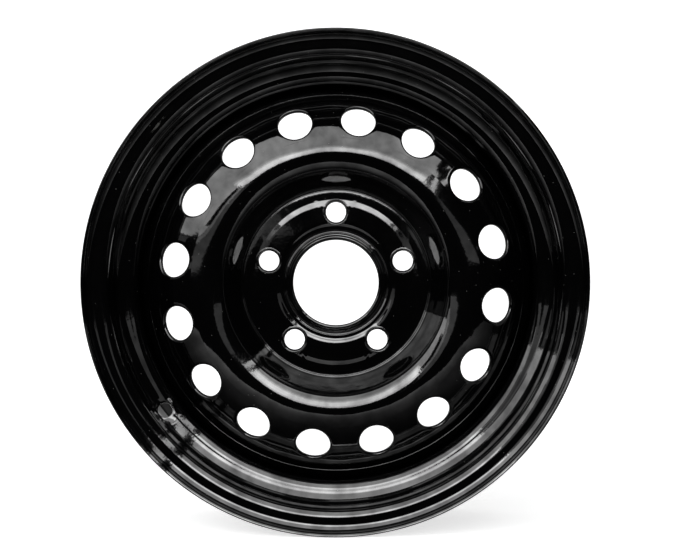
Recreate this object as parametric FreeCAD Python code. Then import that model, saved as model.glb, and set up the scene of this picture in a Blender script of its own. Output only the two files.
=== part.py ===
"""Steel trailer wheel: a rolled drop-centre rim, a pressed disc and the welds that join them.

The wheel stands upright. It spins about Y, the street side faces -Y and the origin is the wheel centre,
on the rim's mid-plane. Sections are drawn as (radius, y) and revolved about Y. All sizes in millimetres.
"""
import FreeCAD, Part
import math
import os

# Rim
bead_seat_diameter = 354.8
rim_width = 139.7
rim_thickness = 2.6
flange_height = 17.3
flange_reach = 13.0
flange_curl_radius = 9.5
bead_seat_angle = 5.0
bead_fillet_radius = 4.0
hump_foot_distance = 15.4
hump_foot_length = 4.4
hump_rise_angle = 15.0
hump_fall_angle = 12.0
hump_radius = 8.0
front_ledge_length = 14.0
rear_ledge_length = 9.0
shoulder_radius = 11.0
well_depth = 17.8
front_wall_angle = 20.0
rear_wall_angle = 62.0
front_well_radius = 5.5
rear_well_radius = 10.0

# Valve hole, with its flat coined pad in the front wall of the well
valve_hole_diameter = 11.4
valve_hole_angle = 233.2
valve_hole_rise = 9.0
valve_pad_margin = 2.2

# Pressed disc
wheel_offset = 30.0
disc_thickness = 3.5
bore_diameter = 66.5
bore_edge_radius = 1.5
bore_groove_distance = 7.55
bore_groove_width = 2.4
bore_groove_depth = 0.6
ridge_inner_radius = 45.85
ridge_outer_radius = 63.9
ridge_height = 2.0
ridge_inner_angle = 40.0
ridge_outer_angle = 28.0
ridge_top_bend = 5.0
ridge_foot_bend = 2.0
nave_land_width = 9.5
wall_groove_distance = 1.6
wall_groove_width = 1.6
wall_groove_depth = 0.3
wall_angle = 58.6
wall_foot_bend = 3.0
crown_height = 26.0
crown_inner_bend = 17.0
cone_angle = 47.0
cone_run = 12.3
skirt_bend = 15.0
skirt_rear = 4.0
skirt_clearance = 0.05

# Bolt holes
bolt_circle_diameter = 112.0
bolt_count = 5
bolt_hole_diameter = 16.1
bolt_seat_diameter = 18.4
bolt_seat_angle = 60.0
bolt_boss_margin = 0.9
bolt_boss_height = 0.15
bolt_boss_draft = 15.0

# Vents
vent_count = 16
vent_diameter = 26.8
vent_tilt = 31.4
vent_first_angle = 8.0

# Welds between the skirt's rear edge and the well
weld_count = 8
weld_arc = 30.0
weld_leg = 3.4
weld_crown_share = 0.6

spin_axis = FreeCAD.Vector(0, 1, 0)
centre = FreeCAD.Vector(0, 0, 0)

bead_seat_radius = bead_seat_diameter / 2
well_radius = bead_seat_radius - well_depth
well_bore_radius = well_radius - rim_thickness
skirt_radius = well_bore_radius - skirt_clearance
nave_front = wheel_offset + disc_thickness
ridge_top = nave_front + ridge_height
crown_top = nave_front + crown_height


def sine(degrees):
    return math.sin(math.radians(degrees))


def cosine(degrees):
    return math.cos(math.radians(degrees))


def tangent(degrees):
    return math.tan(math.radians(degrees))


ridge_inner_half = ridge_height / tangent(ridge_inner_angle) / 2
ridge_outer_half = ridge_height / tangent(ridge_outer_angle) / 2
wall_foot_radius = ridge_outer_radius + ridge_outer_half + nave_land_width
inner_crown_radius = wall_foot_radius + crown_height / tangent(wall_angle)
crown_radius = inner_crown_radius + crown_inner_bend * tangent(wall_angle / 2)
cone_outer_radius = skirt_radius - skirt_bend * tangent(45 - cone_angle / 2) * cosine(cone_angle)
crown_outer_bend = (cone_outer_radius - cone_run - crown_radius) / sine(cone_angle)
outer_crown_radius = crown_radius + crown_outer_bend * tangent(cone_angle / 2)


def section_point(radius, y):
    return FreeCAD.Vector(radius, y, 0)


def around(shape, angle):
    """The shape turned clockwise about the spin axis, as seen from the street."""
    turned = shape.copy()
    turned.rotate(centre, spin_axis, angle)
    return turned


def heading(start, end):
    return math.degrees(math.atan2(end[1] - start[1], end[0] - start[0]))


def offset_left(point, direction, distance):
    """The section point moved to the left of a direction."""
    return (point[0] - distance * sine(direction), point[1] + distance * cosine(direction))


def path_edges(corners, offset):
    """Lines and tangent arcs along corners (radius, y, bend), moved to the left by an offset."""
    edges = []
    last = offset_left(corners[0], heading(corners[0], corners[1]), offset)
    for before, corner, after in zip(corners, corners[1:], corners[2:]):
        arrive = heading(before, corner)
        turn = (heading(corner, after) - arrive + 180) % 360 - 180
        setback = corner[2] * tangent(abs(turn) / 2)
        side = math.copysign(1, turn)
        tangent_point = (corner[0] - setback * cosine(arrive), corner[1] - setback * sine(arrive))
        bend_centre = offset_left(tangent_point, arrive, side * corner[2])
        start, middle, end = [
            offset_left(bend_centre, arrive + share * turn, offset - side * corner[2])
            for share in (0, 0.5, 1)
        ]
        edges += straight(last, start)
        edges.append(Part.Arc(section_point(*start), section_point(*middle), section_point(*end)).toShape())
        last = end
    final = offset_left(corners[-1], heading(corners[-2], corners[-1]), offset)
    return edges + straight(last, final)


def straight(start, end):
    """One straight edge, or none where two bends meet."""
    if math.dist(start, end) < 0.001:
        return []
    return [Part.LineSegment(section_point(*start), section_point(*end)).toShape()]


def ends_of(edges):
    vertices = Part.Wire(edges).OrderedVertexes
    return [(vertex.Point.x, vertex.Point.y) for vertex in (vertices[0], vertices[-1])]


def revolved(edges):
    face = Part.Face(Part.Wire(Part.__sortEdges__(edges)))
    return face.revolve(centre, spin_axis, 360)


def bent_sheet(corners, thickness):
    """A revolved sheet that lies to the left of a path of corners."""
    near = path_edges(corners, 0)
    far = path_edges(corners, thickness)
    caps = [straight(a, b)[0] for a, b in zip(ends_of(near), ends_of(far))]
    return revolved(near + far + caps)


def rim_half(ledge_length, wall_angle_from_radial, well_bend):
    """Tyre-side corners (radius, distance from the mid-plane, bend) from a flange lip to the well floor."""
    face = rim_width / 2
    top = bead_seat_radius + flange_height
    overhang = math.degrees(math.asin(flange_reach / flange_curl_radius - 1))
    curl_setback = flange_curl_radius * tangent(overhang / 2)
    curl_corner = face + flange_curl_radius + curl_setback
    lip = (top - curl_setback * sine(overhang), curl_corner + curl_setback * cosine(overhang), 0)
    foot_radius = bead_seat_radius - hump_foot_distance * tangent(bead_seat_angle)
    foot = face - hump_foot_distance
    crest_radius = foot_radius + hump_foot_length * sine(hump_rise_angle)
    crest = foot - hump_foot_length * cosine(hump_rise_angle)
    edge_radius = crest_radius - ledge_length * sine(hump_fall_angle)
    edge = crest - ledge_length * cosine(hump_fall_angle)
    floor = edge - (edge_radius - well_radius) * tangent(wall_angle_from_radial)
    return [
        lip,
        (top, curl_corner, flange_curl_radius),
        (top, face, flange_curl_radius),
        (bead_seat_radius, face, bead_fillet_radius),
        (foot_radius, foot, hump_radius),
        (crest_radius, crest, hump_radius),
        (edge_radius, edge, shoulder_radius),
        (well_radius, floor, well_bend),
    ]


def barrel_core(corners):
    """The space that the rim's inner surface encloses."""
    inner = path_edges(corners, rim_thickness)
    front, rear = ends_of(inner)
    axis_front = (0, front[1])
    axis_rear = (0, rear[1])
    return revolved(inner + straight(front, axis_front) + straight(axis_front, axis_rear) + straight(axis_rear, rear))


def valve_pad(well_corner, core):
    """A flat pad that carries the well's front wall on past its shoulder, and the pocket and hole through it."""
    corner_radius, corner_distance, _ = well_corner
    on_wall = section_point(
        corner_radius + valve_hole_rise,
        -corner_distance - valve_hole_rise * tangent(front_wall_angle),
    )
    outward = FreeCAD.Vector(-sine(front_wall_angle), -cosine(front_wall_angle), 0)
    hole_radius = valve_hole_diameter / 2
    pad_radius = hole_radius + valve_pad_margin
    depth = pad_radius + rim_thickness
    boss = Part.makeCylinder(pad_radius + rim_thickness / 2, depth, on_wall, outward)
    below_bead = Part.makeCylinder(bead_seat_radius, rim_width, centre - spin_axis * rim_width / 2, spin_axis)
    boss = boss.common(below_bead).cut(core)
    pocket = Part.makeCylinder(pad_radius, depth, on_wall + outward * rim_thickness, outward)
    hole = Part.makeCylinder(hole_radius, 2 * depth, on_wall - outward * depth, outward)
    turn = valve_hole_angle - 90
    return around(boss, turn), around(pocket.fuse(hole), turn)


def make_rim():
    front = rim_half(front_ledge_length, front_wall_angle, front_well_radius)
    rear = rim_half(rear_ledge_length, rear_wall_angle, rear_well_radius)
    corners = [(r, -d, bend) for r, d, bend in front]
    corners += [(r, d, bend) for r, d, bend in reversed(rear)]
    boss, opening = valve_pad(front[-1], barrel_core(corners))
    return bent_sheet(corners, rim_thickness).fuse(boss).cut(opening).removeSplitter()


def disc_corners():
    """Street-side corners (radius, y, bend) from the bore to the rear edge of the skirt."""
    cone_end = crown_top - (skirt_radius - outer_crown_radius) * tangent(cone_angle)
    return [
        (bore_diameter / 2, -nave_front, 0),
        (ridge_inner_radius - ridge_inner_half, -nave_front, ridge_foot_bend),
        (ridge_inner_radius + ridge_inner_half, -ridge_top, ridge_top_bend),
        (ridge_outer_radius - ridge_outer_half, -ridge_top, ridge_top_bend),
        (ridge_outer_radius + ridge_outer_half, -nave_front, ridge_foot_bend),
        (wall_foot_radius, -nave_front, wall_foot_bend),
        (inner_crown_radius, -crown_top, crown_inner_bend),
        (outer_crown_radius, -crown_top, crown_outer_bend),
        (skirt_radius, -cone_end, skirt_bend),
        (skirt_radius, skirt_rear, 0),
    ]


def bolt_seat():
    """The boss of the bolt at the top of the circle, rooted in the sheet, and its seat and hole."""
    front = ridge_top + bolt_boss_height
    seat_radius = bolt_seat_diameter / 2
    hole_radius = bolt_hole_diameter / 2
    boss_radius = seat_radius + bolt_boss_margin
    boss_depth = front - nave_front + disc_thickness / 2
    base_radius = boss_radius + boss_depth * tangent(bolt_boss_draft)
    seat_depth = (seat_radius - hole_radius) / tangent(bolt_seat_angle / 2)
    at_front = FreeCAD.Vector(0, -front, bolt_circle_diameter / 2)
    boss = Part.makeCone(boss_radius, base_radius, boss_depth, at_front, spin_axis)
    seat = Part.makeCone(seat_radius, hole_radius, seat_depth, at_front, spin_axis)
    hole = Part.makeCylinder(hole_radius, front - wheel_offset, at_front, spin_axis)
    return boss, seat.fuse(hole)


def vent_cut():
    """One vent's punch, at the top of the circle, square to the crown."""
    outward = FreeCAD.Vector(0, -cosine(vent_tilt), sine(vent_tilt))
    on_crown = FreeCAD.Vector(0, crown_outer_bend - crown_top, crown_radius) + outward * crown_outer_bend
    reach = 3 * disc_thickness
    return Part.makeCylinder(vent_diameter / 2, 2 * reach, on_crown - outward * reach, outward)


def coined_groove(ring_radius, width, depth):
    """A round-bottomed ring groove in the nave's front."""
    round_radius = (width ** 2 / 4 + depth ** 2) / (2 * depth)
    middle = centre - spin_axis * (nave_front + round_radius - depth)
    return Part.makeTorus(ring_radius, round_radius, middle, spin_axis)


def bore_rounding():
    """The ring that the rolled-over front edge of the bore leaves out."""
    edge = bore_diameter / 2
    corner = (edge, -nave_front)
    outer = (edge + bore_edge_radius, -nave_front)
    inner = (edge, bore_edge_radius - nave_front)
    diagonal = bore_edge_radius * (1 - cosine(45))
    middle = (edge + diagonal, diagonal - nave_front)
    arc = Part.Arc(section_point(*inner), section_point(*middle), section_point(*outer)).toShape()
    return revolved([arc] + straight(outer, corner) + straight(corner, inner))


def make_disc():
    disc = bent_sheet(disc_corners(), disc_thickness)
    boss, seat = bolt_seat()
    bolt_angles = [k * 360 / bolt_count for k in range(bolt_count)]
    vent_angles = [vent_first_angle + k * 360 / vent_count for k in range(vent_count)]
    disc = disc.fuse([around(boss, angle) for angle in bolt_angles])
    cuts = [around(seat, angle) for angle in bolt_angles]
    cuts += [around(vent_cut(), angle) for angle in vent_angles]
    cuts.append(coined_groove(bore_diameter / 2 + bore_groove_distance, bore_groove_width, bore_groove_depth))
    cuts.append(coined_groove(wall_foot_radius - wall_groove_distance, wall_groove_width, wall_groove_depth))
    return disc.cut(cuts + [bore_rounding()]).removeSplitter()


def make_welds():
    """Arc fillet welds in the corner between the skirt's rear edge and the well, with a crowned face."""
    root = (well_bore_radius, skirt_rear)
    on_rim = (well_bore_radius, skirt_rear + weld_leg)
    on_skirt = (well_bore_radius - weld_leg, skirt_rear)
    crown_reach = weld_crown_share * weld_leg
    crown = (well_bore_radius - crown_reach, skirt_rear + crown_reach)
    face_arc = Part.Arc(section_point(*on_rim), section_point(*crown), section_point(*on_skirt)).toShape()
    wire = Part.Wire(Part.__sortEdges__([face_arc] + straight(on_skirt, root) + straight(root, on_rim)))
    bead = Part.Face(wire).revolve(centre, spin_axis, weld_arc)
    return Part.makeCompound([around(bead, k * 360 / weld_count) for k in range(weld_count)])


os.makedirs("parts", exist_ok=True)
make_rim().exportStep("parts/rim.step")
make_disc().exportStep("parts/wheel_disc.step")
make_welds().exportStep("parts/weld_beads.step")
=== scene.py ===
"""Looks of the trailer wheel: fine meshes of its two formed sheets and its welds, gloss black paint, a plain
studio and the camera. Sections are (radius, y) in millimetres about the spin axis Y, as in the CAD model, and
angles run clockwise from the top as seen from the street."""
import bisect
import math

import bmesh
import bpy
from mathutils import Matrix, Vector


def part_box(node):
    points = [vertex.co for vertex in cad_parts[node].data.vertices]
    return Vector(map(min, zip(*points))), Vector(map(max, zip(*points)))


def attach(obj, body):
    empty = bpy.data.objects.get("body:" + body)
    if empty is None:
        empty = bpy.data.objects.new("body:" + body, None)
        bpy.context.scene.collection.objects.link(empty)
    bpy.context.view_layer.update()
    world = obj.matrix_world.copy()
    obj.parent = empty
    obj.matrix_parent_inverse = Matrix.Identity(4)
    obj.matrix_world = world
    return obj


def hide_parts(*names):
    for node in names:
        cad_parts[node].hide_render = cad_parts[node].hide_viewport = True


MM = 0.001
BODY = "root"

# Rim, millimetres and degrees
BEAD_SEAT_RADIUS = 177.4
RIM_WIDTH = 139.7
RIM_THICKNESS = 2.6
FLANGE_HEIGHT = 17.3
FLANGE_REACH = 13.0
FLANGE_CURL = 9.5
FLANGE_LEAN = 5.0
BEAD_SEAT_ANGLE = 5.0
BEAD_FILLET = 5.0
HUMP_FOOT_DISTANCE = 15.4
HUMP_FOOT_LENGTH = 4.4
HUMP_RISE = 15.0
HUMP_FALL = 12.0
HUMP_BEND = 8.0
FRONT_LEDGE = 8.0
REAR_LEDGE = 9.0
SHOULDER_BEND = 15.0
WELL_DEPTH = 17.8
FRONT_WALL_ANGLE = 10.0
REAR_WALL_ANGLE = 62.0
FRONT_WELL_BEND = 5.5
REAR_WELL_BEND = 10.0
LIP_ROUNDING = 0.8

# Valve hole
VALVE_RADIUS = 5.7
VALVE_ANGLE = 233.2
VALVE_RISE = 9.0
VALVE_PAD_MARGIN = 2.2
VALVE_PAD_BLEND = 2.6
VALVE_EDGE = 0.5
VALVE_PAD_DEPTH = 20.0
VALVE_PATCH_BEFORE = 15.0
VALVE_PATCH_AFTER = 13.0

# Disc
WHEEL_OFFSET = 30.0
DISC_THICKNESS = 3.5
BORE_RADIUS = 33.9
BORE_ROUNDING = 1.5
RIDGE_INNER = 46.3
RIDGE_OUTER = 63.9
RIDGE_HEIGHT = 0.7
RIDGE_OUTER_FALL = 0.3
RIDGE_INNER_ANGLE = 13.0
RIDGE_OUTER_ANGLE = 4.5
RIDGE_TOP_BEND = 12.0
RIDGE_FOOT_BEND = 6.0
NAVE_LAND = 9.5
WALL_ANGLE = 60.0
WALL_FOOT_BEND = 1.6
CROWN_HEIGHT = 26.0
CROWN_LIP_BEND = 6.0
CROWN_INNER_FALL = 18.0
CROWN_INNER_BEND = 36.0
CONE_ANGLE = 47.0
CONE_RUN = 12.3
SKIRT_BEND = 15.0
SKIRT_REAR = 4.0
SKIRT_CLEARANCE = 0.05
SHEARED_EDGE = 0.5

# Coined rings in the disc's front: radius, width, depth; a negative depth stands proud
BORE_GROOVE = (40.8, 2.4, 0.6)
BORE_RINGS = ((38.5, 1.0, 0.03), (36.7, 1.0, 0.03))
WALL_GROOVE = (73.68, 1.2, 0.27)
SKIRT_LINE = (149.7, 0.9, -0.55)
COINED_RINGS = (BORE_GROOVE, *BORE_RINGS, WALL_GROOVE, SKIRT_LINE)

# Bolt holes
BOLT_CIRCLE = 56.0
BOLT_COUNT = 5
BOLT_RADIUS = 8.05
BOLT_SEAT_RADIUS = 9.2
BOLT_SEAT_HALF_ANGLE = 30.0
BOLT_BOSS_MARGIN = 0.9
BOLT_BOSS_HEIGHT = 0.15
BOLT_BOSS_DRAFT = 15.0
BOLT_BOSS_BLEND = 0.4
BOLT_BOSS_REACH = 3.0
BOLT_EDGE = 1.1
BOLT_SEAT_SHARES = (0.1, 0.5, 0.9)
BOLT_PATCH_INNER = 13.2
BOLT_PATCH_OUTER = 13.6
BOLT_PATCH_HALF_WIDTH = 15.5

# Vents
VENT_COUNT = 16
VENT_RADIUS = 13.4
VENT_TILT = 30.5
VENT_FIRST_ANGLE = 8.0
VENT_EDGE = 2.0
VENT_BAND = 17.0
VENT_DIP = 0.3
VENT_DIP_REACH = 7.0

# Welds
WELD_COUNT = 8
WELD_ARC = 30.0
WELD_LEG = 3.4
WELD_RIPPLE = 0.22
WELD_PITCH = 2.4
WELD_THROAT = 0.62
WELD_BULGE = 0.1
WELD_FULL = 0.877

# Scuff on the front flange: radius, y, angle, and half its size along, through and across the flange
SCUFF_PLACE = (182.8, -74.0, -48.6)
SCUFF_HALF = (22.0, 12.0, 3.2)

# Mesh fineness
SEGMENTS = 256
LINE_STEP = 6.5
TURN_STEP = 5.5
SUPPORT = 0.3
SHORTEST_PIECE = 0.001
SEARCH_STEP = 0.01
NEWTON_STEPS = 14
NEWTON_NUDGE = 0.01
JOIN_DISTANCE = 0.004
ROUNDING_STEPS = 4
RING_ROWS = 12
VENT_ROWS = 16
VENT_RINGS = 7
BOLT_RINGS = 20
BRINK_STEPS = 3
VALVE_RINGS = 8
VALVE_PATCH_HALF = 5
BACK_RINGS = 5
WELD_SECTION_STEPS = 8
WELD_STEP = 0.4
SWEEP_STEP = 10

# Paint: colours, waves per metre of its noises, and the spans that they are moved to
PAINT_COLOUR = (0.0007, 0.0007, 0.0008, 1)
BARE_COLOUR = (0.09, 0.09, 0.085, 1)
PAINT_IOR = 1.5
COAT_ROUGHNESS = 0.02
ROUGHNESS_SPAN = (0.03, 0.07)
WAVE_SCALE = 38.0
PEEL_SCALE = 420.0
PEEL_SHARE = 0.12
BUMP_STRENGTH = 0.12
BUMP_DISTANCE = 0.0008
SPECK_SCALE = 150.0
SPECK_EDGE = (0.035, 0.06)
SCRATCH_SCALE = 6.0
SCRATCH_DETAIL = 5.0
SCUFF_FADE = (0.34, 1.0)
SCUFF_DEPTH = 0.12
SCUFF_SHARE = 0.8
CLOUD_SCALE = 85.0
CLOUD_DETAIL = 4.0
CLOUD_SPAN = (0.3, 0.7)
COAT_SPAN = (0.0, 0.8)
DRIFT_SCALE = 26.0
DRIFT_DETAIL = 3.0
DRIFT_DISTORTION = 1.2
DRIFT_SPAN = (0.35, 0.68)
SPECULAR_SPAN = (0.36, 0.72)

# Stage and lamps, metres; a panel is its x span, its y span and its radiance
TABLE_FRONT = -0.088
TABLE_STEP = 0.02
STAGE_WHITE = 0.8
STAGE_ROUGHNESS = 0.9
TABLE_GLOW = 0.68
BACKDROP_GLOW = 1.0
GLOW_SPAN = (0.0, 0.6)
FRONT_GLOW = 0.75
BACKDROP = 3.0
SWEEP = 0.8
STAGE_HEIGHT = 3.5
STAGE_HALF_WIDTH = 5.0
FLOOR_FRONT = -0.86
# The front floor's grey at two (y, value) points: the dark end near the wheel is a painted shadow of the
# wheel
FLOOR_PAINTED_SHADOW = ((-0.12, 0.015), (-0.86, 0.3))
PANEL_HEIGHT = 0.32
PANELS = (
    ((-1.0, 0.275), (-0.80, -0.215), 2.85),
    ((-1.0, -0.33), (-0.95, -0.80), 2.85),
    ((-0.33, 0.275), (-0.92, -0.80), 3.8),
    ((-0.33, 0.275), (-1.06, -0.92), 6.2),
    ((-0.33, 0.275), (-1.9, -1.06), 9.3),
    ((-0.33, 0.275), (-2.6, -1.9), 6.5),
    ((-1.0, -0.68), (-1.9, -0.95), 2.85),
    ((-0.68, -0.33), (-1.4, -0.95), 2.85),
    ((0.305, 0.34), (-2.6, -0.215), 5.0),
    ((-2.6, -1.05), (-0.95, -0.215), 0.30),
    ((-1.4, -0.33), (-2.6, -1.95), 1.4),
    ((-3.0, -0.33), (-8.0, -2.65), 0.5),
    ((0.40, 1.8), (-8.0, -2.4), 0.40),
)
WORLD_LEVEL = 0.006

# Photograph's frame, pixels, and the camera's place
FRAME_WIDTH = 700
SENSOR_WIDTH = 36.0
FOCAL_PIXELS = 1401.8
CAMERA_DISTANCE = 1.150
CAMERA_SIDE = 0.0112
CENTRE_DROP = 2.5
CLIP_START = 0.01

WELL_RADIUS = BEAD_SEAT_RADIUS - WELL_DEPTH
WELL_BORE = WELL_RADIUS - RIM_THICKNESS
SKIRT_RADIUS = WELL_BORE - SKIRT_CLEARANCE
NAVE_FRONT = WHEEL_OFFSET + DISC_THICKNESS
RIDGE_TOP = NAVE_FRONT + RIDGE_HEIGHT
LAND_FRONT = RIDGE_TOP - RIDGE_OUTER_FALL
CROWN_TOP = NAVE_FRONT + CROWN_HEIGHT
BOSS_TOP = RIDGE_TOP + BOLT_BOSS_HEIGHT
BOSS_RADIUS = BOLT_SEAT_RADIUS + BOLT_BOSS_MARGIN


def sine(degrees):
    return math.sin(math.radians(degrees))


def cosine(degrees):
    return math.cos(math.radians(degrees))


def tangent(degrees):
    return math.tan(math.radians(degrees))


RIDGE_INNER_HALF = RIDGE_HEIGHT / tangent(RIDGE_INNER_ANGLE) / 2
RIDGE_OUTER_HALF = RIDGE_OUTER_FALL / tangent(RIDGE_OUTER_ANGLE) / 2
WALL_FOOT = RIDGE_OUTER + RIDGE_OUTER_HALF + NAVE_LAND
INNER_SETBACK = CROWN_INNER_BEND * tangent(CROWN_INNER_FALL / 2)
LIP_REACH = INNER_SETBACK + CROWN_LIP_BEND * tangent((WALL_ANGLE - CROWN_INNER_FALL) / 2)
LIP_HEIGHT = CROWN_HEIGHT - LIP_REACH * sine(CROWN_INNER_FALL)
CROWN_LIP = WALL_FOOT + LIP_HEIGHT / tangent(WALL_ANGLE)
INNER_CROWN = CROWN_LIP + LIP_REACH * cosine(CROWN_INNER_FALL)
CROWN_RADIUS = INNER_CROWN + INNER_SETBACK
CONE_OUTER = SKIRT_RADIUS - SKIRT_BEND * tangent(45 - CONE_ANGLE / 2) * cosine(CONE_ANGLE)
CROWN_OUTER_BEND = (CONE_OUTER - CONE_RUN - CROWN_RADIUS) / sine(CONE_ANGLE)
OUTER_CROWN = CROWN_RADIUS + CROWN_OUTER_BEND * tangent(CONE_ANGLE / 2)


def smooth(low, high, value):
    share = min(max((value - low) / (high - low), 0.0), 1.0)
    return share * share * (3 - 2 * share)


def smooth_max(a, b, blend):
    share = max(blend - abs(a - b), 0.0) / blend
    return max(a, b) + share * share * blend / 4


def left_of(point, direction, distance):
    return (point[0] - distance * sine(direction), point[1] + distance * cosine(direction))


class SheetPath:
    """Lines and tangent arcs through corners (radius, y, bend), measured by length along the near side."""

    def __init__(self, corners):
        self.pieces = []
        self.starts = []
        self.length = 0.0
        last = corners[0][:2]
        for before, corner, after in zip(corners, corners[1:], corners[2:]):
            arrive = self.heading(before, corner)
            turn = (self.heading(corner, after) - arrive + 180) % 360 - 180
            setback = corner[2] * tangent(abs(turn) / 2)
            start = (corner[0] - setback * cosine(arrive), corner[1] - setback * sine(arrive))
            self.add(last, arrive, math.dist(last, start), 0.0, 0.0)
            self.add(start, arrive, corner[2] * math.radians(abs(turn)), turn, corner[2])
            leave = arrive + turn
            last = (corner[0] + setback * cosine(leave), corner[1] + setback * sine(leave))
        self.add(last, self.heading(last, corners[-1]), math.dist(last, corners[-1][:2]), 0.0, 0.0)

    @staticmethod
    def heading(start, end):
        return math.degrees(math.atan2(end[1] - start[1], end[0] - start[0]))

    def add(self, start, heading, length, turn, bend):
        if length > SHORTEST_PIECE:
            self.pieces.append((start, heading, length, turn, bend))
            self.starts.append(self.length)
            self.length += length

    def at(self, length, offset):
        """The section point at a length, moved to the left by an offset."""
        index = max(bisect.bisect_right(self.starts, length) - 1, 0)
        start, heading, piece_length, turn, bend = self.pieces[index]
        along = length - self.starts[index]
        if not turn:
            start = left_of(start, heading, offset)
            return (start[0] + along * cosine(heading), start[1] + along * sine(heading))
        side = math.copysign(1, turn)
        centre = left_of(start, heading, side * bend)
        return left_of(centre, heading + turn * along / piece_length, offset - side * bend)

    def stations(self):
        """Lengths to sample: close together on bends, with support beside them on straights."""
        found = []
        for start, piece in zip(self.starts, self.pieces):
            length, turn = piece[2], piece[3]
            if turn:
                count = math.ceil(abs(turn) / TURN_STEP)
                found += [start + length * k / count for k in range(count)]
            else:
                inside = [SUPPORT, length - SUPPORT] if length > 3 * SUPPORT else []
                count = math.ceil(length / LINE_STEP)
                inside += [length * k / count for k in range(1, count)]
                found += [start] + [start + value for value in sorted(inside)]
        return found + [self.length]

    def length_at(self, radius):
        """The first length at which the near side reaches a radius."""
        low = 0.0
        while self.at(low, 0)[0] < radius:
            low += SEARCH_STEP
        return low


def spun(radius, y, angle):
    return Vector((radius * sine(angle), y, radius * cosine(angle)))


def turned(points, angle):
    rotation = Matrix.Rotation(math.radians(angle), 4, "Y")
    return [rotation @ point for point in points]


class Skin:
    """A mesh gathered from strips of points, welded where they meet."""

    def __init__(self):
        self.points = []
        self.faces = []

    def add(self, loops, closed):
        """Quads between rows of points; closed rows join their last point to their first."""
        first = len(self.points)
        width = len(loops[0])
        for loop in loops:
            self.points += loop
        for row in range(len(loops) - 1):
            for column in range(width if closed else width - 1):
                a = first + row * width + column
                b = first + row * width + (column + 1) % width
                self.faces.append((a, b, b + width, a + width))

    def build(self, name, material):
        mesh = bpy.data.meshes.new(name)
        mesh.from_pydata([point * MM for point in self.points], [], self.faces)
        form = bmesh.new()
        form.from_mesh(mesh)
        bmesh.ops.remove_doubles(form, verts=form.verts, dist=JOIN_DISTANCE * MM)
        bmesh.ops.recalc_face_normals(form, faces=form.faces)
        for face in form.faces:
            face.smooth = True
        form.to_mesh(mesh)
        form.free()
        mesh.materials.append(material)
        piece = bpy.data.objects.new(name, mesh)
        bpy.context.scene.collection.objects.link(piece)
        return piece


class Hole:
    """A round hole about an axis: a point on it, its direction out of the near face, its edge profiles."""

    def __init__(self, point, outward, near_edge, far_edge):
        self.point = point
        self.outward = outward.normalized()
        self.across = self.outward.cross(Vector((0, 0, 1))).normalized()
        self.up = self.across.cross(self.outward)
        self.near_edge = near_edge
        self.far_edge = far_edge

    def flat(self, point):
        relative = point - self.point
        return relative.dot(self.across), relative.dot(self.up)

    def reach(self, place, guess, target):
        """The (angle, length) at which a surface lies over a flat point, by Newton's steps."""
        angle, length = guess
        for _ in range(NEWTON_STEPS):
            x, y = self.flat(place(angle, length))
            xa, ya = self.flat(place(angle + NEWTON_NUDGE, length))
            xl, yl = self.flat(place(angle, length + NEWTON_NUDGE))
            xa, ya, xl, yl = (change / NEWTON_NUDGE for change in (xa - x, ya - y, xl - x, yl - y))
            scale = xa * yl - xl * ya
            dx, dy = target[0] - x, target[1] - y
            angle += (dx * yl - dy * xl) / scale
            length += (dy * xa - dx * ya) / scale
        return angle, length

    def side(self, place, border, middle, edge, inward, rings):
        """Loops on one face of the sheet, from the patch's border to the foot of the hole's edge."""
        loops = [[] for _ in range(rings + len(edge))]
        for angle, length in border:
            x, y = self.flat(place(angle, length))
            away = math.hypot(x, y)
            ring = middle
            for index, (distance, depth) in enumerate(edge):
                target = (x / away * distance, y / away * distance)
                ring = self.reach(place, ring, target)
                loops[rings + index].append(place(*ring) + inward * depth)
                if index == 0:
                    outer = ring
            for index in range(rings):
                share = index / rings
                mixed = (angle + (outer[0] - angle) * share, length + (outer[1] - length) * share)
                loops[index].append(place(*mixed))
        return loops

    def loops(self, near, far, border, middle, rings):
        front = self.side(near, border, middle, self.near_edge, -self.outward, rings)
        back = self.side(far, border, middle, self.far_edge, self.outward, BACK_RINGS)
        return front + back[::-1]


def rounded_edge(radius, rounding):
    """Edge profile (distance from the axis, depth) that rolls from a face into a hole's wall."""
    steps = [90 * k / ROUNDING_STEPS for k in range(ROUNDING_STEPS + 1)]
    return [(radius + rounding * (1 - sine(a)), rounding * (1 - cosine(a))) for a in steps]


def patch_border(angles, lengths):
    """The (angle, length) points round a rectangular patch, in order."""
    lower = [(angle, lengths[0]) for angle in angles]
    right = [(angles[-1], length) for length in lengths[1:]]
    upper = [(angle, lengths[-1]) for angle in angles[-2::-1]]
    left = [(angles[0], length) for length in lengths[-2:0:-1]]
    return lower + right + upper + left


def grid_rows(place, angles, lengths):
    return [[place(angle, length) for angle in angles] for length in lengths]


def spun_rows(section, angles):
    return [[spun(radius, y, angle) for angle in angles] for radius, y in section]


def ring_angles(start):
    return [start + 360 * k / SEGMENTS for k in range(SEGMENTS)]


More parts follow.
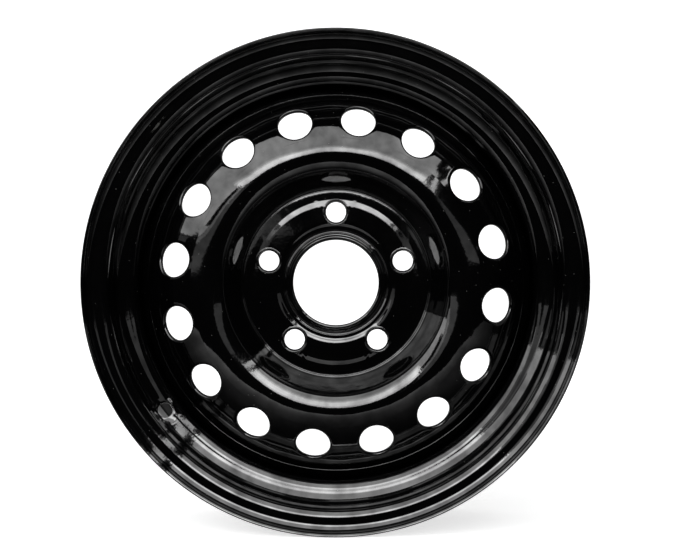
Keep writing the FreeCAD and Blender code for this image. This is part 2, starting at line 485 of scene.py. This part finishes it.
def rim_half(ledge, wall_angle, well_bend):
    face = RIM_WIDTH / 2
    top = BEAD_SEAT_RADIUS + FLANGE_HEIGHT
    overhang = math.degrees(math.asin(FLANGE_REACH / FLANGE_CURL - 1))
    setback = FLANGE_CURL * tangent(overhang / 2)
    curl_corner = face + FLANGE_CURL + setback
    foot_radius = BEAD_SEAT_RADIUS - HUMP_FOOT_DISTANCE * tangent(BEAD_SEAT_ANGLE)
    foot = face - HUMP_FOOT_DISTANCE
    crest_radius = foot_radius + HUMP_FOOT_LENGTH * sine(HUMP_RISE)
    crest = foot - HUMP_FOOT_LENGTH * cosine(HUMP_RISE)
    edge_radius = crest_radius - ledge * sine(HUMP_FALL)
    edge = crest - ledge * cosine(HUMP_FALL)
    floor = edge - (edge_radius - WELL_RADIUS) * tangent(wall_angle)
    return [
        (top - setback * sine(overhang), curl_corner + setback * cosine(overhang), 0),
        (top, curl_corner, FLANGE_CURL),
        (top, face + FLANGE_HEIGHT * tangent(FLANGE_LEAN), FLANGE_CURL),
        (BEAD_SEAT_RADIUS, face, BEAD_FILLET),
        (foot_radius, foot, HUMP_BEND),
        (crest_radius, crest, HUMP_BEND),
        (edge_radius, edge, SHOULDER_BEND),
        (WELL_RADIUS, floor, well_bend),
    ]


def disc_corners():
    cone_end = CROWN_TOP - (SKIRT_RADIUS - OUTER_CROWN) * tangent(CONE_ANGLE)
    return [
        (BORE_RADIUS, -NAVE_FRONT, 0),
        (RIDGE_INNER - RIDGE_INNER_HALF, -NAVE_FRONT, RIDGE_FOOT_BEND),
        (RIDGE_INNER + RIDGE_INNER_HALF, -RIDGE_TOP, RIDGE_TOP_BEND),
        (RIDGE_OUTER - RIDGE_OUTER_HALF, -RIDGE_TOP, RIDGE_TOP_BEND),
        (RIDGE_OUTER + RIDGE_OUTER_HALF, -LAND_FRONT, RIDGE_FOOT_BEND),
        (WALL_FOOT + (LAND_FRONT - NAVE_FRONT) / tangent(WALL_ANGLE), -LAND_FRONT, WALL_FOOT_BEND),
        (CROWN_LIP, -NAVE_FRONT - LIP_HEIGHT, CROWN_LIP_BEND),
        (INNER_CROWN, -CROWN_TOP, CROWN_INNER_BEND),
        (OUTER_CROWN, -CROWN_TOP, CROWN_OUTER_BEND),
        (SKIRT_RADIUS, -cone_end, SKIRT_BEND),
        (SKIRT_RADIUS, SKIRT_REAR, 0),
    ]


def rolled_end(path, at_start, thickness, near_rounding, far_rounding):
    """Section points round a sheet's cut end, from its near face to its far one, both corners rounded."""
    def from_end(distance, offset):
        return Vector(path.at(distance if at_start else path.length - distance, offset))

    near, far = from_end(0, 0), from_end(0, thickness)
    into = (from_end(1, 0) - near).normalized()
    across = (far - near).normalized()
    steps = [90 * k / ROUNDING_STEPS for k in range(ROUNDING_STEPS + 1)]
    points = []
    for a in steps:
        points.append(near + (into * (1 - sine(a)) + across * (1 - cosine(a))) * near_rounding)
    for a in reversed(steps):
        points.append(far + (into * (1 - sine(a)) - across * (1 - cosine(a))) * far_rounding)
    return points


def within(lengths, low, high):
    """The lengths between two limits, with the limits themselves at the ends."""
    return [low] + [value for value in lengths if low + SUPPORT / 2 < value < high - SUPPORT / 2] + [high]


def ring_depth(radius, ring):
    """How deep a coined ring lies below the face at a radius."""
    middle, width, depth = ring
    return depth * max(0.0, 1 - ((radius - middle) / (width / 2)) ** 2)


def boss_height(position):
    """How far in front of the mid-plane the nearest bolt boss stands at a place on the nave."""
    highest = -math.inf
    for k in range(BOLT_COUNT):
        centre = spun(BOLT_CIRCLE, 0, 360 * k / BOLT_COUNT)
        away = math.hypot(position.x - centre.x, position.z - centre.z)
        highest = max(highest, BOSS_TOP - max(away - BOSS_RADIUS, 0) / tangent(BOLT_BOSS_DRAFT))
    return highest


def make_disc(material):
    path = SheetPath(disc_corners())
    vent_middle = path.length_at(CROWN_RADIUS) + CROWN_OUTER_BEND * math.radians(VENT_TILT)

    def dip(radius, angle, length):
        """Depth of the shallow dips that the press leaves in the crown, one for each vent."""
        pitch = 360 / VENT_COUNT
        aside = radius * sine((angle - VENT_FIRST_ANGLE + pitch / 2) % pitch - pitch / 2)
        away = max(math.hypot(aside, length - vent_middle) - VENT_RADIUS, 0)
        return VENT_DIP * math.exp(-(away / VENT_DIP_REACH) ** 2)

    def front(angle, length):
        radius, y = path.at(length, 0)
        y += dip(radius, angle, length)
        y += sum(ring_depth(radius, ring) for ring in COINED_RINGS)
        position = spun(radius, y, angle)
        if abs(radius - BOLT_CIRCLE) < BOSS_RADIUS + BOLT_BOSS_REACH:
            position.y = -smooth_max(-position.y, boss_height(position), BOLT_BOSS_BLEND)
        return position

    def back(angle, length):
        return spun(*path.at(length, DISC_THICKNESS), angle)

    vent_low, vent_high = vent_middle - VENT_BAND, vent_middle + VENT_BAND
    bolt_low = path.length_at(BOLT_CIRCLE - BOLT_PATCH_INNER)
    bolt_high = path.length_at(BOLT_CIRCLE + BOLT_PATCH_OUTER)
    marks = [vent_low, vent_high, bolt_low, bolt_high]
    reach = RING_ROWS // 2 + 1
    for radius, width, _ in COINED_RINGS:
        marks += [path.length_at(radius + width * k / RING_ROWS) for k in range(-reach, reach + 1)]
    plain = [v for v in path.stations() if min(abs(v - mark) for mark in marks) > SUPPORT / 2]
    lengths = sorted(plain + marks)
    angles = ring_angles(VENT_FIRST_ANGLE)

    skin = Skin()
    for place, stations, bore in ((front, lengths, BORE_ROUNDING), (back, path.stations(), SHEARED_EDGE)):
        for low, high in ((bore, bolt_low), (bolt_high, vent_low), (vent_high, path.length - SHEARED_EDGE)):
            skin.add(grid_rows(place, angles, within(stations, low, high)), True)
    for at_start, rounding in ((True, BORE_ROUNDING), (False, SHEARED_EDGE)):
        ends = rolled_end(path, at_start, DISC_THICKNESS, rounding, SHEARED_EDGE)
        skin.add(spun_rows(ends, angles), True)
    add_vents(skin, front, back, vent_middle)
    bolts = within(lengths, bolt_low, bolt_high)
    add_bolt_holes(skin, front, back, angles, bolts, path.length_at(BOLT_CIRCLE))
    return skin.build("disc_sheet", material)


def add_vents(skin, front, back, middle):
    """Patches of the crown with a vent in each, punched square to it: the first one, turned to each place."""
    low, high = middle - VENT_BAND, middle + VENT_BAND
    lengths = [low + (high - low) * k / VENT_ROWS for k in range(VENT_ROWS + 1)]
    per_vent = SEGMENTS // VENT_COUNT
    angles = [360 * (k - per_vent / 2) / SEGMENTS for k in range(per_vent + 1)]
    outward = Vector((0, -cosine(VENT_TILT), sine(VENT_TILT)))
    on_crown = Vector((0, CROWN_OUTER_BEND - CROWN_TOP, CROWN_RADIUS)) + outward * CROWN_OUTER_BEND
    edges = [rounded_edge(VENT_RADIUS, rounding) for rounding in (VENT_EDGE, SHEARED_EDGE)]
    vent = Hole(on_crown, outward, *edges)
    loops = vent.loops(front, back, patch_border(angles, lengths), (0, middle), VENT_RINGS)
    # Worked out at the top, so that after the turn the patch's dips lie VENT_FIRST_ANGLE past the vents
    for k in range(VENT_COUNT):
        skin.add([turned(loop, VENT_FIRST_ANGLE + 360 * k / VENT_COUNT) for loop in loops], True)


def seat_edge():
    """Edge profile of a bolt hole: a rounded brink, the cone seat and the top of the wall."""
    turn = 90 - BOLT_SEAT_HALF_ANGLE
    brink = [turn * k / BRINK_STEPS for k in range(BRINK_STEPS + 1)]
    reach = BOLT_EDGE * tangent(turn / 2)
    profile = [(BOLT_SEAT_RADIUS + reach - BOLT_EDGE * sine(a), BOLT_EDGE * (1 - cosine(a))) for a in brink]
    depth = (BOLT_SEAT_RADIUS - BOLT_RADIUS) / tangent(BOLT_SEAT_HALF_ANGLE)
    last = profile[-1]
    for share in BOLT_SEAT_SHARES:
        profile.append((last[0] + (BOLT_RADIUS - last[0]) * share, last[1] + (depth - last[1]) * share))
    return profile + [(BOLT_RADIUS, depth)]


def add_bolt_holes(skin, front, back, angles, lengths, middle):
    """Five patches with cone-seated holes, and the plain stretches of the nave between them."""
    step = 360 / SEGMENTS
    half = round(math.degrees(BOLT_PATCH_HALF_WIDTH / BOLT_CIRCLE) / step)
    spans = []
    for k in range(BOLT_COUNT):
        nearest = round((360 * k / BOLT_COUNT - angles[0]) / step) % SEGMENTS
        spans.append((nearest - half, nearest + half, 360 * k / BOLT_COUNT))
    spans.sort()
    for index, (low, high, bolt_angle) in enumerate(spans):
        patch = [angles[0] + step * k for k in range(low, high + 1)]
        axis_point = spun(BOLT_CIRCLE, -BOSS_TOP, bolt_angle)
        hole = Hole(axis_point, Vector((0, -1, 0)), seat_edge(), rounded_edge(BOLT_RADIUS, SHEARED_EDGE))
        border = patch_border(patch, lengths)
        start = ((patch[0] + patch[-1]) / 2, middle)
        skin.add(hole.loops(front, back, border, start, BOLT_RINGS), True)
        following = spans[index + 1][0] if index + 1 < len(spans) else spans[0][0] + SEGMENTS
        plain = [angles[0] + step * k for k in range(high, following + 1)]
        for place in (front, back):
            skin.add(grid_rows(place, plain, lengths), False)


def make_rim(material):
    front_half = rim_half(FRONT_LEDGE, FRONT_WALL_ANGLE, FRONT_WELL_BEND)
    rear_half = rim_half(REAR_LEDGE, REAR_WALL_ANGLE, REAR_WELL_BEND)
    corners = [(r, -d, bend) for r, d, bend in front_half]
    corners += [(r, d, bend) for r, d, bend in reversed(rear_half)]
    path = SheetPath(corners)

    well_radius, well_distance, _ = front_half[-1]
    hole_r = well_radius + VALVE_RISE
    hole_y = -well_distance - VALVE_RISE * tangent(FRONT_WALL_ANGLE)
    on_wall = spun(hole_r, hole_y, VALVE_ANGLE)
    inward = spun(-sine(FRONT_WALL_ANGLE), 0, VALVE_ANGLE)
    outward = inward + Vector((0, -cosine(FRONT_WALL_ANGLE), 0))
    pad_radius = VALVE_RADIUS + VALVE_PAD_MARGIN

    def padded(position, level, radius):
        relative = position - on_wall
        height = relative.dot(outward)
        away = (relative - outward * height).length
        if away > radius + VALVE_PAD_BLEND or abs(height) > VALVE_PAD_DEPTH:
            return position
        weight = 1 - smooth(radius, radius + VALVE_PAD_BLEND, away)
        return position + outward * (level - height) * weight

    def inner(angle, length):
        return padded(spun(*path.at(length, RIM_THICKNESS), angle), RIM_THICKNESS, pad_radius)

    def tyre_side(angle, length):
        return padded(spun(*path.at(length, 0), angle), 0, pad_radius + RIM_THICKNESS / 2)

    step = 360 / SEGMENTS
    angles = ring_angles(VALVE_ANGLE)
    lengths = path.stations()
    middle = next(v for v in lengths if path.at(v, 0)[0] < hole_r and path.at(v, 0)[1] > -RIM_WIDTH / 2)
    low = max(v for v in lengths if v < middle - VALVE_PATCH_BEFORE)
    high = min(v for v in lengths if v > middle + VALVE_PATCH_AFTER)
    band = within(lengths, low, high)
    around = [VALVE_ANGLE + step * k for k in range(VALVE_PATCH_HALF, SEGMENTS - VALVE_PATCH_HALF + 1)]
    skin = Skin()
    for place in (inner, tyre_side):
        skin.add(grid_rows(place, angles, within(lengths, LIP_ROUNDING, low)), True)
        skin.add(grid_rows(place, angles, within(lengths, high, path.length - LIP_ROUNDING)), True)
        skin.add(grid_rows(place, around, band), False)
    patch = [VALVE_ANGLE + step * k for k in range(-VALVE_PATCH_HALF, VALVE_PATCH_HALF + 1)]
    edge = rounded_edge(VALVE_RADIUS, VALVE_EDGE)
    hole = Hole(on_wall, outward, edge, edge)
    border = patch_border(patch, band)
    skin.add(hole.loops(inner, tyre_side, border, (VALVE_ANGLE, middle), VALVE_RINGS), True)
    for at_start in (True, False):
        ends = rolled_end(path, at_start, RIM_THICKNESS, LIP_ROUNDING, LIP_ROUNDING)
        skin.add(spun_rows(ends, angles), True)
    return skin.build("rim_sheet", material)


def make_welds(material):
    """Arc fillet welds with the ripples that the puddle leaves, rounded off at their ends."""
    skin = Skin()
    section = [90 * k / WELD_SECTION_STEPS for k in range(WELD_SECTION_STEPS + 1)]
    total = math.radians(WELD_ARC) * WELL_BORE
    count = round(total / WELD_STEP)
    for k in range(WELD_COUNT):
        rows = []
        for step in range(count + 1):
            share = step / count
            angle = 90 - WELD_ARC * share + 360 * k / WELD_COUNT
            along = total * share
            swell = math.sqrt(min(along, total - along, WELD_LEG) / WELD_LEG)
            ripple = swell * WELD_RIPPLE * abs(math.sin(math.pi * along / WELD_PITCH))
            row = [spun(WELL_BORE, SKIRT_REAR, angle)]
            for a in section:
                bulge = (WELD_THROAT + WELD_BULGE * sine(2 * a)) / cosine(a - 45)
                reach = WELD_LEG * swell * min(bulge / WELD_FULL, 1.0) - ripple * sine(2 * a)
                row.append(spun(WELL_BORE - reach * sine(a), SKIRT_REAR + reach * cosine(a), angle))
            rows.append(row)
        skin.add(rows, True)
    return skin.build("weld_runs", material)


def add_noise(tree, vector, scale, detail=2.0, distortion=0.0):
    """Noise over a vector, about 0 to 1."""
    node = tree.nodes.new("ShaderNodeTexNoise")
    node.inputs["Scale"].default_value = scale
    node.inputs["Detail"].default_value = detail
    node.inputs["Distortion"].default_value = distortion
    tree.links.new(vector, node.inputs["Vector"])
    return node.outputs["Fac"]


def add_range(tree, value, source, target):
    """A value moved from one span to another and held at its ends."""
    node = tree.nodes.new("ShaderNodeMapRange")
    node.inputs["From Min"].default_value, node.inputs["From Max"].default_value = source
    node.inputs["To Min"].default_value, node.inputs["To Max"].default_value = target
    tree.links.new(value, node.inputs["Value"])
    return node.outputs["Result"]


def add_math(tree, operation, first, second):
    node = tree.nodes.new("ShaderNodeMath")
    node.operation = operation
    tree.links.new(first, node.inputs[0])
    tree.links.new(second, node.inputs[1])
    return node.outputs["Value"]


def paint_bump(tree, place, wave):
    """Normals of the paint's slow waves with fine orange peel on them."""
    peel = add_noise(tree, place, PEEL_SCALE)
    height = tree.nodes.new("ShaderNodeMath")
    height.operation = "MULTIPLY_ADD"
    height.inputs[1].default_value = PEEL_SHARE
    tree.links.new(peel, height.inputs[0])
    tree.links.new(wave, height.inputs[2])
    bump = tree.nodes.new("ShaderNodeBump")
    bump.inputs["Strength"].default_value = BUMP_STRENGTH
    bump.inputs["Distance"].default_value = BUMP_DISTANCE
    tree.links.new(height.outputs["Value"], bump.inputs["Height"])
    return bump.outputs["Normal"]


def dust(tree, place):
    """Specks of settled dust: 1 on a speck, 0 beside it."""
    specks = tree.nodes.new("ShaderNodeTexVoronoi")
    specks.inputs["Scale"].default_value = SPECK_SCALE
    tree.links.new(place, specks.inputs["Vector"])
    return add_range(tree, specks.outputs["Distance"], SPECK_EDGE, (1.0, 0.0))


def flange_scuff(tree, place):
    """Scratches on the front flange, fewer towards the scuff's edge."""
    scuff = tree.nodes.new("ShaderNodeMapping")
    scuff.vector_type = "TEXTURE"
    scuff.inputs["Location"].default_value = spun(*SCUFF_PLACE) * MM
    scuff.inputs["Rotation"].default_value = (0, math.radians(SCUFF_PLACE[2]), 0)
    scuff.inputs["Scale"].default_value = [half * MM for half in SCUFF_HALF]
    tree.links.new(place, scuff.inputs["Vector"])
    reach = tree.nodes.new("ShaderNodeVectorMath")
    reach.operation = "LENGTH"
    tree.links.new(scuff.outputs["Vector"], reach.inputs[0])
    scratches = add_noise(tree, scuff.outputs["Vector"], SCRATCH_SCALE, SCRATCH_DETAIL)
    fade = add_range(tree, reach.outputs["Value"], (0.0, 1.0), SCUFF_FADE)
    worn = add_math(tree, "SUBTRACT", scratches, fade)
    return add_range(tree, worn, (0.0, SCUFF_DEPTH), (0.0, SCUFF_SHARE))


def gloss_black():
    """Stoved black paint: deep uneven gloss, faint orange peel, a little settled dust and a scuff."""
    material = bpy.data.materials.new("gloss_black_paint")
    material.use_nodes = True
    tree = material.node_tree
    shader = tree.nodes["Principled BSDF"]
    shader.inputs["Coat Roughness"].default_value = COAT_ROUGHNESS
    shader.inputs["IOR"].default_value = PAINT_IOR
    place = tree.nodes.new("ShaderNodeTexCoord").outputs["Object"]

    wave = add_noise(tree, place, WAVE_SCALE)
    normal = paint_bump(tree, place, wave)
    tree.links.new(normal, shader.inputs["Normal"])
    tree.links.new(normal, shader.inputs["Coat Normal"])

    colour = tree.nodes.new("ShaderNodeMix")
    colour.data_type = "RGBA"
    colour.inputs["A"].default_value = PAINT_COLOUR
    colour.inputs["B"].default_value = BARE_COLOUR
    marks = add_math(tree, "MAXIMUM", dust(tree, place), flange_scuff(tree, place))
    tree.links.new(marks, colour.inputs["Factor"])
    tree.links.new(colour.outputs["Result"], shader.inputs["Base Color"])

    cloud = add_noise(tree, place, CLOUD_SCALE, CLOUD_DETAIL)
    drift = add_noise(tree, place, DRIFT_SCALE, DRIFT_DETAIL, DRIFT_DISTORTION)
    spreads = (
        (wave, (0.0, 1.0), ROUGHNESS_SPAN, "Roughness"),
        (cloud, CLOUD_SPAN, COAT_SPAN, "Coat Weight"),
        (drift, DRIFT_SPAN, SPECULAR_SPAN, "Specular IOR Level"),
    )
    for noise, source, target, socket in spreads:
        tree.links.new(add_range(tree, noise, source, target), shader.inputs[socket])
    return material


def stage_material(name, colour, glow):
    """A matt stage surface, with a glow that lifts it towards white."""
    material = bpy.data.materials.new(name)
    material.use_nodes = True
    shader = material.node_tree.nodes["Principled BSDF"]
    shader.inputs["Roughness"].default_value = STAGE_ROUGHNESS
    shader.inputs["Specular IOR Level"].default_value = 0.0
    shader.inputs["Base Color"].default_value = (colour, colour, colour, 1)
    shader.inputs["Emission Color"].default_value = (1, 1, 1, 1)
    shader.inputs["Emission Strength"].default_value = glow
    return material


def depth_ramp(material, near, far, socket):
    """Drives a socket of the shader from one (y, value) to another across the stage."""
    tree = material.node_tree
    place = tree.nodes.new("ShaderNodeTexCoord")
    parts = tree.nodes.new("ShaderNodeSeparateXYZ")
    tree.links.new(place.outputs["Object"], parts.inputs["Vector"])
    ramp = add_range(tree, parts.outputs["Y"], (near[0], far[0]), (near[1], far[1]))
    tree.links.new(ramp, tree.nodes["Principled BSDF"].inputs[socket])


def table_material():
    """White, with a glow that grows from the lamps' reach to the backdrop."""
    material = stage_material("white_table", STAGE_WHITE, TABLE_GLOW)
    depth_ramp(material, (GLOW_SPAN[0], TABLE_GLOW), (GLOW_SPAN[1], BACKDROP_GLOW), "Emission Strength")
    return material


def floor_material_painted_shadow():
    """Grey, darkened near the wheel as a painted shadow of the wheel, and paler towards the front."""
    near, far = FLOOR_PAINTED_SHADOW
    material = stage_material("grey_floor_painted_shadow", far[1], 0.0)
    depth_ramp(material, near, far, "Base Color")
    return material


def stage_sheet(name, section, half_width, material):
    """A sheet that follows (y, z) points, from side to side of the stage."""
    points = [(x, y, z) for y, z in section for x in (-half_width, half_width)]
    faces = [(2 * k, 2 * k + 1, 2 * k + 3, 2 * k + 2) for k in range(len(section) - 1)]
    mesh = bpy.data.meshes.new(name)
    mesh.from_pydata(points, [], faces)
    mesh.materials.append(material)
    sheet = bpy.data.objects.new(name, mesh)
    bpy.context.scene.collection.objects.link(sheet)


def make_stage(low):
    """A white table that sweeps up into its backdrop, and a grey floor a step below its front edge, darkened
    near the wheel by a painted shadow.
    """
    step = low - TABLE_STEP
    edge = [(TABLE_FRONT, step), (TABLE_FRONT, low)]
    stage_sheet("table_edge", edge, STAGE_HALF_WIDTH, stage_material("white_edge", STAGE_WHITE, FRONT_GLOW))
    table = [(TABLE_FRONT, low), (BACKDROP - SWEEP, low)]
    for a in range(SWEEP_STEP, 91, SWEEP_STEP):
        table.append((BACKDROP - SWEEP * (1 - sine(a)), low + SWEEP * (1 - cosine(a))))
    table.append((BACKDROP, STAGE_HEIGHT))
    stage_sheet("floor", table, STAGE_HALF_WIDTH, table_material())
    below = [(TABLE_FRONT, step), (FLOOR_FRONT, step)]
    # The floor's grey is darker near the wheel: a painted shadow of the wheel
    stage_sheet("front_floor_painted_shadow", below, STAGE_HALF_WIDTH, floor_material_painted_shadow())


def light_panel(name, x_span, y_span, radiance):
    """A soft panel over the stage, with a stated radiance."""
    lamp = bpy.data.lights.new(name, "AREA")
    lamp.shape = "RECTANGLE"
    lamp.size = x_span[1] - x_span[0]
    lamp.size_y = y_span[1] - y_span[0]
    lamp.energy = radiance * math.pi * lamp.size * lamp.size_y
    panel = bpy.data.objects.new(name, lamp)
    panel.location = (sum(x_span) / 2, sum(y_span) / 2, PANEL_HEIGHT)
    bpy.context.scene.collection.objects.link(panel)


def make_light():
    scene = bpy.context.scene
    scene.world = bpy.data.worlds.new("studio")
    scene.world.use_nodes = True
    background = scene.world.node_tree.nodes["Background"]
    background.inputs["Color"].default_value = (1, 1, 1, 1)
    background.inputs["Strength"].default_value = WORLD_LEVEL
    for index, panel in enumerate(PANELS):
        light_panel("panel_%d" % index, *panel)
    scene.view_settings.view_transform = "Standard"


def make_camera():
    camera = bpy.data.cameras.new("camera")
    camera.sensor_width = SENSOR_WIDTH
    camera.lens = FOCAL_PIXELS * SENSOR_WIDTH / FRAME_WIDTH
    camera.shift_y = CENTRE_DROP / FRAME_WIDTH
    camera.clip_start = CLIP_START
    holder = bpy.data.objects.new("camera", camera)
    holder.location = (CAMERA_SIDE, -CAMERA_DISTANCE, 0)
    holder.rotation_euler = (math.radians(90), 0, 0)
    bpy.context.scene.collection.objects.link(holder)
    bpy.context.scene.camera = holder


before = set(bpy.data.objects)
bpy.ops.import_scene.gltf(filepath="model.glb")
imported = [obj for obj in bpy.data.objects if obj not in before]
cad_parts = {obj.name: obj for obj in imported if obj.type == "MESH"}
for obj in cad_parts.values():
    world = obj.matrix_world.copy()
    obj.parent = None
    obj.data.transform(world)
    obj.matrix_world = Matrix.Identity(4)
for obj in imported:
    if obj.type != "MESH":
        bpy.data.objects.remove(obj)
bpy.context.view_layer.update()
paint = gloss_black()
rim = make_rim(paint)
disc = make_disc(paint)
welds = make_welds(paint)
for piece, node in ((rim, "rim"), (disc, "wheel_disc"), (welds, "weld_beads")):
    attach(piece, BODY)
    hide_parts(node)
make_stage(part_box("rim")[0].z)
make_light()
make_camera()
